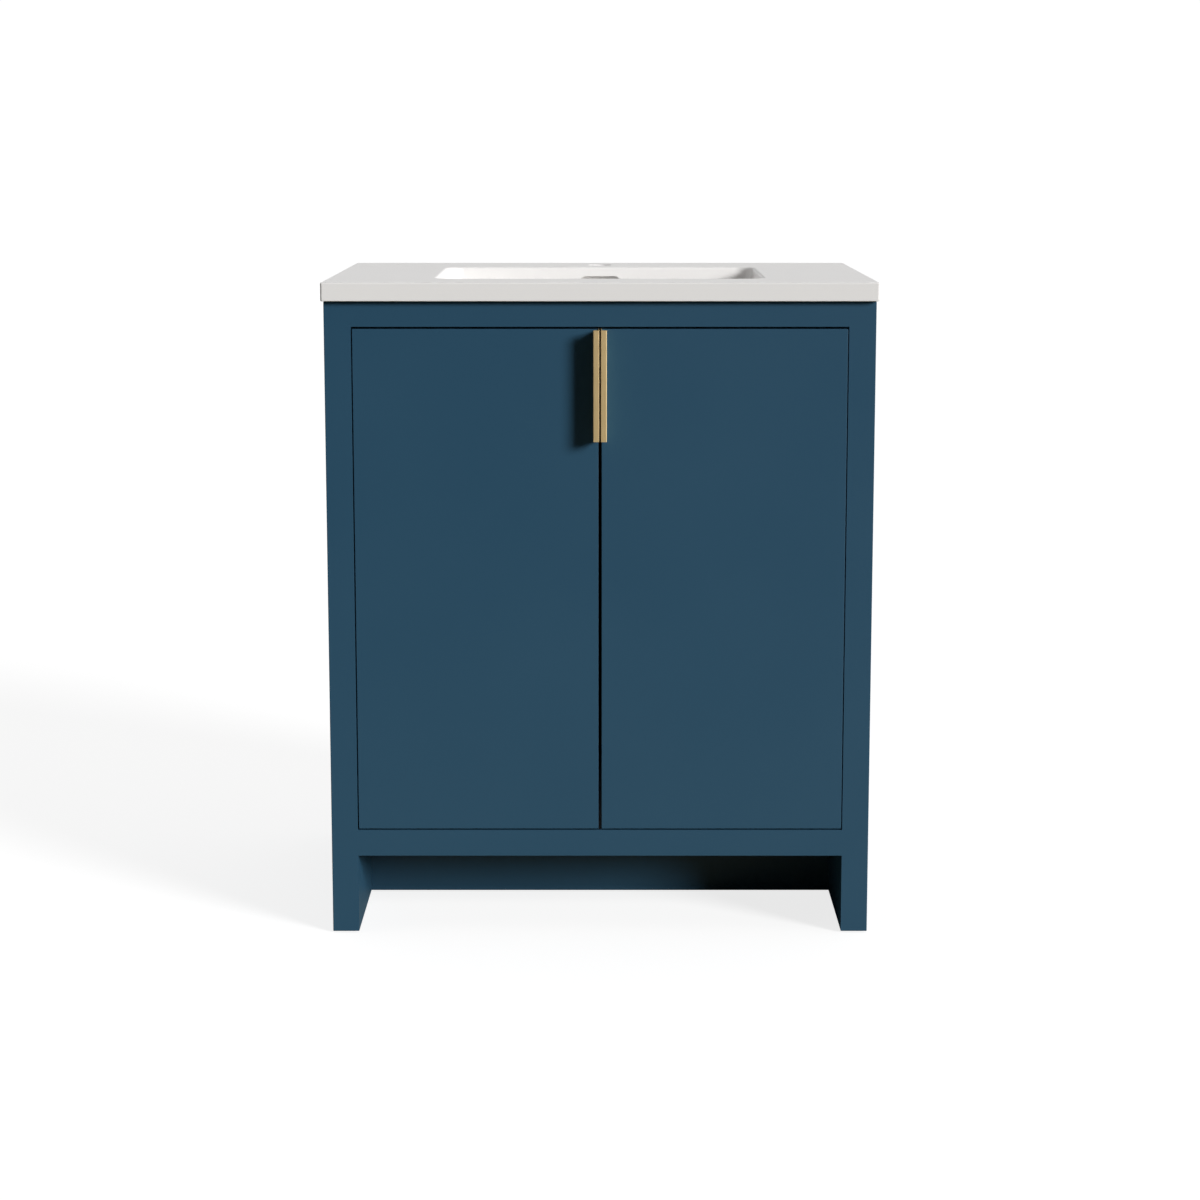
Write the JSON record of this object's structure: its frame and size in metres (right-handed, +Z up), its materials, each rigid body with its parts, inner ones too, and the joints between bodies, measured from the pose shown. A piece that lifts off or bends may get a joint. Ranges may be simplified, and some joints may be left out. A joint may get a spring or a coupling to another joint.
{
  "type": "bathroom vanity cabinet",
  "caption": "Free-standing bathroom vanity: inset doors on concealed hinges, brass edge pulls, and a white cast top with an integrated rectangular basin.",
  "frame": {"origin": "centre of the footprint (pulls and countertop included), on the floor", "axes": "+Z up, -Y towards the front where the doors open, +X to the right seen from the front"},
  "size_m": [0.762, 0.5748, 0.9184],
  "materials": {
    "painted_board": "satin blue-grey paint on MDF",
    "cast_top": "white cast marble with a satin gel coat",
    "brass_pull": "brushed brass",
    "hinge_steel": "nickel-plated pressed steel",
    "screw_steel": "zinc-plated screw steel",
    "hardboard": "brown hardboard",
    "beech": "plain beech",
    "sealant": "cured silicone bead",
    "bumper_clear": "clear soft bumper",
    "glide_nylon": "black nylon"
  },
  "bodies": {
    "cabinet": {"countertop": "cast_top", "silicone_bead": "sealant", "left_side_panel": "painted_board", "right_side_panel": "painted_board", "bottom_panel": "painted_board", "top_front_rail": "painted_board", "bottom_front_rail": "painted_board", "top_stop_rail": "painted_board", "toe_board": "painted_board", "top_back_rail": "painted_board", "bottom_back_rail": "painted_board", "back_panel": "hardboard", "corner_blocks": "beech", "carcass_dowels": "beech", "floor_glides": "glide_nylon", "door_bumpers": "bumper_clear", "back_panel_screws": "screw_steel", "hinge_arm_screws": "screw_steel", "hinge_plate_screws": "screw_steel", "left_upper_arm": "hinge_steel", "left_upper_plate": "hinge_steel", "left_lower_arm": "hinge_steel", "left_lower_plate": "hinge_steel", "right_upper_arm": "hinge_steel", "right_upper_plate": "hinge_steel", "right_lower_arm": "hinge_steel", "right_lower_plate": "hinge_steel", "hinge_arm_pins": "hinge_steel"},
    "left_links": {"left_upper_link": "hinge_steel", "left_lower_link": "hinge_steel"},
    "right_links": {"right_upper_link": "hinge_steel", "right_lower_link": "hinge_steel"},
    "left_door": {"left_door": "painted_board", "left_pull": "brass_pull", "left_pull_screws": "screw_steel", "left_upper_cup": "hinge_steel", "left_lower_cup": "hinge_steel", "left_cup_pins": "hinge_steel", "left_cup_screws": "screw_steel"},
    "right_door": {"right_door": "painted_board", "right_pull": "brass_pull", "right_pull_screws": "screw_steel", "right_upper_cup": "hinge_steel", "right_lower_cup": "hinge_steel", "right_cup_pins": "hinge_steel", "right_cup_screws": "screw_steel"}
  },
  "joints": [
    {"name": "left_link_swing", "type": "hinge", "parent": "cabinet", "child": "left_links", "pos_m": [-0.3035, -0.2344, 0.50305], "axis": [0, 0, 1], "range_deg": [0, 78]},
    {"name": "left_door_swing", "type": "hinge", "parent": "left_links", "child": "left_door", "pos_m": [-0.3313, -0.2434, 0.50305], "axis": [0, 0, -1], "range_deg": [0, 183]},
    {"name": "right_link_swing", "type": "hinge", "parent": "cabinet", "child": "right_links", "pos_m": [0.3035, -0.2344, 0.50305], "axis": [0, 0, -1], "range_deg": [0, 78]},
    {"name": "right_door_swing", "type": "hinge", "parent": "right_links", "child": "right_door", "pos_m": [0.3313, -0.2434, 0.50305], "axis": [0, 0, 1], "range_deg": [0, 183]}
  ],
  "couplings": [
    {"joint": "left_link_swing", "follows": "left_door_swing", "ratio": 0.42623},
    {"joint": "right_link_swing", "follows": "right_door_swing", "ratio": 0.42623}
  ]
}
